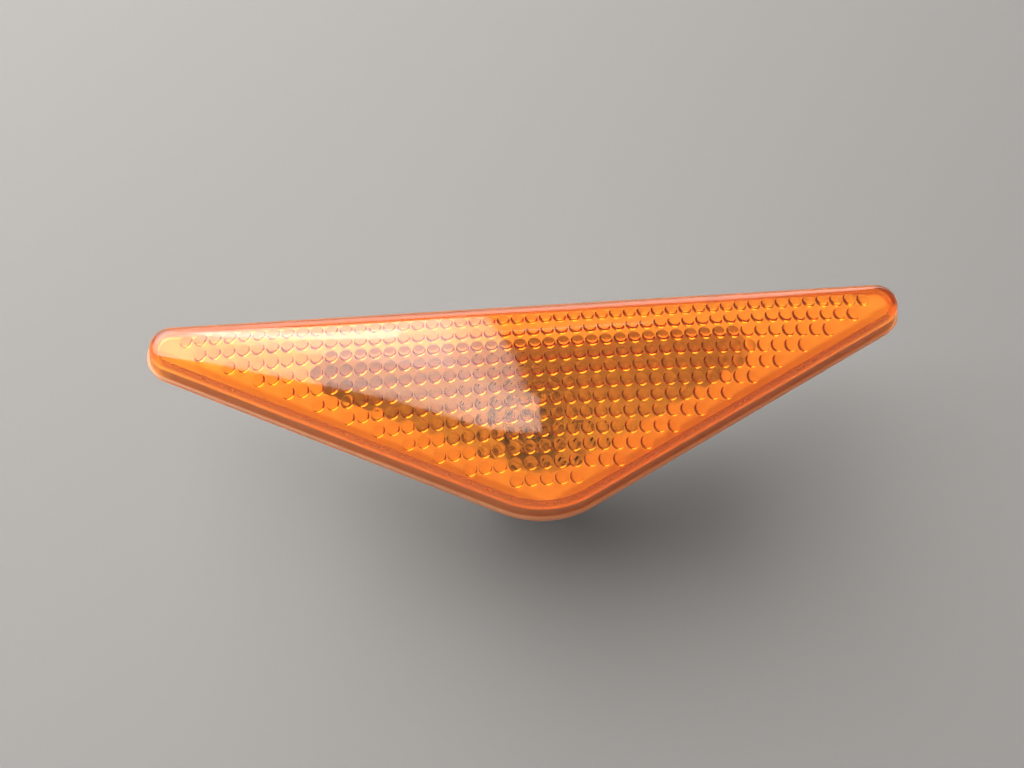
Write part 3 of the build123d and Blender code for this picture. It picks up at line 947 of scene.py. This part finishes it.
coil_low, coil_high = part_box("bulb_filament")
coil_maker = new_object("coil_maker", bpy.data.meshes.new("coil_maker"))
use_tree(
    coil_maker, coil_tree(),
    {
        "Turns": coil_turns, "Coil radius": (coil_high.z - coil_low.z) / 2 - wire_radius * MM,
        "Length": coil_high.x - coil_low.x, "Wire radius": wire_radius * MM,
        "Middle": (coil_low + coil_high) / 2, "Material": tungsten,
    },
)
filament = new_object("filament_coil", plain_mesh(coil_maker, "filament_coil"))
bpy.data.objects.remove(coil_maker)
filament.data.shade_smooth()
finish_piece(filament, "holder", "bulb_wire", "bulb_filament")

# %% [markdown]
# ## Moulded and die-cut pieces
#
# The CAD solids of the housing, the holder and the rings already have the right shape. What they lack is
# what moulding leaves, and a band of painted shade. Round pins push the housing out of its mould, and each
# leaves a thin raised ring on the flat back. The rings are alike, so a small tree sets one on each seat and
# joins them to the piece that carries them.

# %% Rings that the mould's pins leave
pocket_back = -18.0
pin_radius = 1.5
mark_height = 0.1
pin_spots = [(17.0, 1.5, pocket_back), (26.0, 4.2, pocket_back), (47.0, 11.6, skirt_back)]


def mark_tree():
    """Thin raised rings on given seats, joined to the piece that carries them."""
    inputs = {
        "Piece": "Geometry", "Seats": "Object", "Ring radius": "Float", "Ridge radius": "Float",
        "Material": "Material",
    }
    tree = new_tree("pin marks", inputs, "Marked piece")
    given = add_node(tree, "NodeGroupInput").outputs
    ring = add_node(
        tree, "GeometryNodeCurvePrimitiveCircle", {"Resolution": 24, "Radius": given["Ring radius"]}
    )
    ridge = add_node(
        tree, "GeometryNodeCurvePrimitiveCircle", {"Resolution": 6, "Radius": given["Ridge radius"]}
    )
    mark = add_node(
        tree, "GeometryNodeCurveToMesh", {"Curve": ring.outputs[0], "Profile Curve": ridge.outputs[0]}
    )
    seats_info = add_node(tree, "GeometryNodeObjectInfo", {"Object": given["Seats"]})
    copies = add_node(
        tree, "GeometryNodeInstanceOnPoints",
        {"Points": seats_info.outputs["Geometry"], "Instance": mark.outputs[0]},
    )
    both = add_node(tree, "GeometryNodeJoinGeometry", {"Geometry": copies.outputs[0]})
    tree.links.new(given["Piece"], both.inputs["Geometry"])
    real = add_node(tree, "GeometryNodeRealizeInstances", {"Geometry": both.outputs[0]})
    dressed = add_node(
        tree, "GeometryNodeSetMaterial", {"Geometry": real.outputs[0], "Material": given["Material"]}
    )
    add_node(tree, "NodeGroupOutput", {"Marked piece": dressed.outputs[0]})
    return tree


pin_seats = seats_object("pin_seats", [(side * x, y, z) for x, y, z in pin_spots for side in (-1, 1)])
print(len(pin_seats.data.vertices), "pin marks on the back of the housing")

# %% [markdown]
# The plate of the housing is welded into the lens. A narrow border of the plate is painted darker. This is
# painted shade, for the shade under the lens's thick rim, and through the lens it is the duller band that
# frames the pillows. The material finds the border from the distances to the three edges of the lamp.

# %% Painted shade on the border of the welded plate
# The darker colour on the plate's border is painted shade, for the shade under the lens's thick rim.
border_shade_colour = "#C9B7A8"
long_edge_shade_band = 2.3
lower_edge_shade_band = 3.6
shade_fade = 0.6
shade_depth = 0.5


def paint_border_shade(material):
    """Paint a darker colour, as painted shade, on the border of the plate in the housing's material."""
    tree = material.node_tree
    solid = next(node for node in tree.nodes if node.type == "BSDF_PRINCIPLED")
    unshaded_colour = solid.inputs["Base Color"].links[0].from_socket
    place = add_node(tree, "ShaderNodeTexCoord").outputs["Object"]
    insets = []
    for normal, reach in (
        ((0, 1, 0), lamp_width / 2 - long_edge_shade_band),
        ((side_normal.x, side_normal.y, 0), side_distance - lower_edge_shade_band),
        ((-side_normal.x, side_normal.y, 0), side_distance - lower_edge_shade_band),
    ):
        along = add_node(tree, "ShaderNodeVectorMath", {0: place, 1: normal}, operation="DOT_PRODUCT")
        insets.append(
            add_node(tree, "ShaderNodeMath", {0: reach * MM, 1: along.outputs["Value"]}, operation="SUBTRACT")
        )
    nearest = insets[0]
    for inset in insets[1:]:
        nearest = add_node(
            tree, "ShaderNodeMath", {0: nearest.outputs[0], 1: inset.outputs[0]}, operation="MINIMUM"
        )
    border = add_node(
        tree, "ShaderNodeMapRange",
        {"Value": nearest.outputs[0], "From Max": shade_fade * MM, "To Min": 1.0, "To Max": 0.0},
    )
    level = add_node(tree, "ShaderNodeSeparateXYZ", {0: place}).outputs["Z"]
    top = add_node(
        tree, "ShaderNodeMath", {0: level, 1: (plate_front - shade_depth) * MM}, operation="GREATER_THAN"
    )
    share = add_node(
        tree, "ShaderNodeMath", {0: border.outputs["Result"], 1: top.outputs[0]}, operation="MULTIPLY"
    )
    # The top of the plate's border takes the darker colour here: painted shade.
    shaded = add_node(
        tree, "ShaderNodeMix", {0: share.outputs[0], 6: unshaded_colour, 7: linear(border_shade_colour)}, data_type="RGBA"
    )
    tree.links.new(shaded.outputs[2], solid.inputs["Base Color"])


paint_border_shade(pale_plastic)
print("stained borders of", long_edge_shade_band, "and", lower_edge_shade_band, "mm in", pale_plastic.name)

# %% [markdown]
# The edges of the solids are knife sharp, and no moulded edge is. Each piece gets a copy of its mesh:
# welded, flat triangles joined to whole faces, and every sharp edge rounded a little by a Bevel modifier.
# The CAD node itself stays as it is and is only hidden.

# %% Copies with rounded edges
cad_weld_mm = 0.002
flat_angle = math.radians(0.5)
cad_crease = 35


def rounded_copy(node, name, round_mm, material, marks=None):
    """Return a new object: a CAD node's mesh with its sharp edges rounded, and any pin marks."""
    bm = bmesh.new()
    bm.from_mesh(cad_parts[node].data)
    bmesh.ops.remove_doubles(bm, verts=bm.verts, dist=cad_weld_mm * MM)
    bmesh.ops.dissolve_limit(bm, angle_limit=flat_angle, verts=bm.verts, edges=bm.edges)
    maker = new_object(name + "_base", mesh_from(bm, name + "_base", cad_crease))
    bevel = maker.modifiers.new("rounded edges", "BEVEL")
    bevel.width = round_mm * MM
    bevel.segments = 2
    bevel.limit_method = "ANGLE"
    bevel.angle_limit = math.radians(cad_crease)
    bevel.miter_outer = "MITER_ARC"
    bevel.harden_normals = True
    if marks:
        sizes = {"Ring radius": pin_radius * MM, "Ridge radius": mark_height * MM}
        use_tree(maker, mark_tree(), {"Seats": marks, "Material": material, **sizes})
    piece = new_object(name, plain_mesh(maker, name))
    bpy.data.objects.remove(maker)
    dress(piece, material)
    return piece


for node, name, round_mm, material, marks, body, slot in (
    ("rear_housing", "moulded_housing", 0.25, pale_plastic, pin_seats, "lamp", "housing"),
    ("panel_gasket", "foam_gasket", 0.3, grey_foam, None, "lamp", "gasket"),
    ("bulb_holder", "moulded_holder", 0.2, grey_nylon, None, "holder", "holder"),
    ("holder_seal", "rubber_seal", 0.3, soft_rubber, None, "holder", "seal"),
):
    finish_piece(rounded_copy(node, name, round_mm, material, marks), body, slot, node)
bpy.data.objects.remove(pin_seats)

# %% [markdown]
# The contacts and the bulb's leads are small, and stamped and drawn metal has crisp edges, so their solids
# stay and only take a material.

# %% Contacts and leads keep their solids
for node, material in (
    ("contact_feed", rolled_brass), ("contact_earth", rolled_brass),
    ("bulb_lead_feed", nickel_wire), ("bulb_lead_earth", nickel_wire),
):
    dress(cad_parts[node], material)
    print(node, "is finished in", material.name)

# %% [markdown]
# ## Floor and light
#
# The lamp stands on a plain pale floor that reaches past the main view.

# %% Floor
floor_colour = "#B8B4B0"
floor_half = 1.5


def plain_floor():
    """Return a flat square under the lamp."""
    bm = bmesh.new()
    bmesh.ops.create_grid(bm, x_segments=1, y_segments=1, size=floor_half)
    bmesh.ops.translate(bm, verts=bm.verts, vec=(0, 0, cad_box[0].z))
    tree, material = new_material("pale floor, matt")
    dull = add_node(
        tree, "ShaderNodeBsdfPrincipled",
        {"Base Color": linear(floor_colour), "Roughness": 0.9, "Specular IOR Level": 0.2},
    )
    add_node(tree, "ShaderNodeOutputMaterial", {"Surface": dull.outputs["BSDF"]})
    mesh = mesh_from(bm, "floor")
    mesh.materials.append(material)
    return mesh


floor = new_object("floor", plain_floor())
floor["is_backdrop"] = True
print("floor at", round(cad_box[0].z / MM, 2), "mm")

# %% [markdown]
# One large level light, high on the left, stands for a window and lights everything. A glossy dome mirrors
# only a small part of the room, so the brighter panes of that window are lights of their own, which show
# in reflections and through clear plastic but leave dull surfaces as they are: they give the pale veil on
# the left half of the lens its bright middle, and one low at the far side does the same for the steep rim.
# The world adds an even soft light, and it is a pale backdrop to the eye and to glossy and clear surfaces.

# %% Lamps and world
def soft_lamp(name, place_mm, aim_mm, size_mm, radiance):
    """Add a rectangular lamp of the given radiance, where 1 is as bright as white paper."""
    lamp = bpy.data.lights.new(name, "AREA")
    lamp.shape = "RECTANGLE"
    lamp.size = size_mm[0] * MM
    lamp.size_y = size_mm[1] * MM
    lamp.energy = radiance * lamp.size * lamp.size_y * math.pi
    thing = new_object(name, lamp)
    thing.matrix_world = aimed(place_mm, aim_mm)
    return thing


def ceiling_lamp(name, low, high, z, radiance):
    """Add a level lamp that fills a rectangle above the object and shines down."""
    middle = [(a + b) / 2 for a, b in zip(low, high)]
    return soft_lamp(name, (*middle, z), (*middle, 0), (high[0] - low[0], high[1] - low[1]), radiance)


ceiling_lamp("window", (-1106, -30), (46, 1170), 600, 3.1)
for name, low, high, z, radiance in (
    ("broad glare", (-1106, -20), (40, 1170), 601, 1.4),
    ("inner glare", (-1106, 10), (12, 1170), 602, 1.5),
    ("far glare", (-700, 420), (-10, 1170), 603, 2.0),
    ("hot glare", (-330, 830), (-70, 1000), 604, 5.5),
    ("thin glare", (46, 812), (230, 832), 605, 4.0),
):
    glare = ceiling_lamp(name, low, high, z, radiance)
    glare.visible_diffuse = False
far_wall = soft_lamp("far wall", (0, 1250, 325), (0, 0, 325), (2500, 550), 4.0)
far_wall.visible_diffuse = False

room_colour = "#F1F2F4"
dull_room = 0.2
seen_room = 0.48
world = bpy.data.worlds.new("soft room")
bpy.context.scene.world = world
world.use_nodes = True
tree = world.node_tree
tree.nodes.clear()
ray = add_node(tree, "ShaderNodeLightPath").outputs
sharp = add_node(
    tree, "ShaderNodeMath", {0: ray["Is Glossy Ray"], 1: ray["Is Transmission Ray"]}, operation="ADD"
)
seen = add_node(
    tree, "ShaderNodeMath", {0: ray["Is Camera Ray"], 1: sharp.outputs[0]}, operation="ADD", use_clamp=True
)
strength = add_node(
    tree, "ShaderNodeMapRange", {"Value": seen.outputs[0], "To Min": dull_room, "To Max": seen_room}
)
room = add_node(
    tree, "ShaderNodeBackground", {"Color": linear(room_colour), "Strength": strength.outputs["Result"]}
)
add_node(tree, "ShaderNodeOutputWorld", {"Surface": room.outputs["Background"]})
bpy.context.scene.view_settings.view_transform = "Standard"

# %% [markdown]
# ## Measure and finish
#
# The box of the dressed model is set against the box of the CAD model, and how much it grows at the top
# is printed.

# %% Finish
visual_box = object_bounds()
growth = [round((new - old) / MM, 3) for new, old in zip(visual_box[1], cad_box[1])]
print("box grows by", growth, "mm at the top")
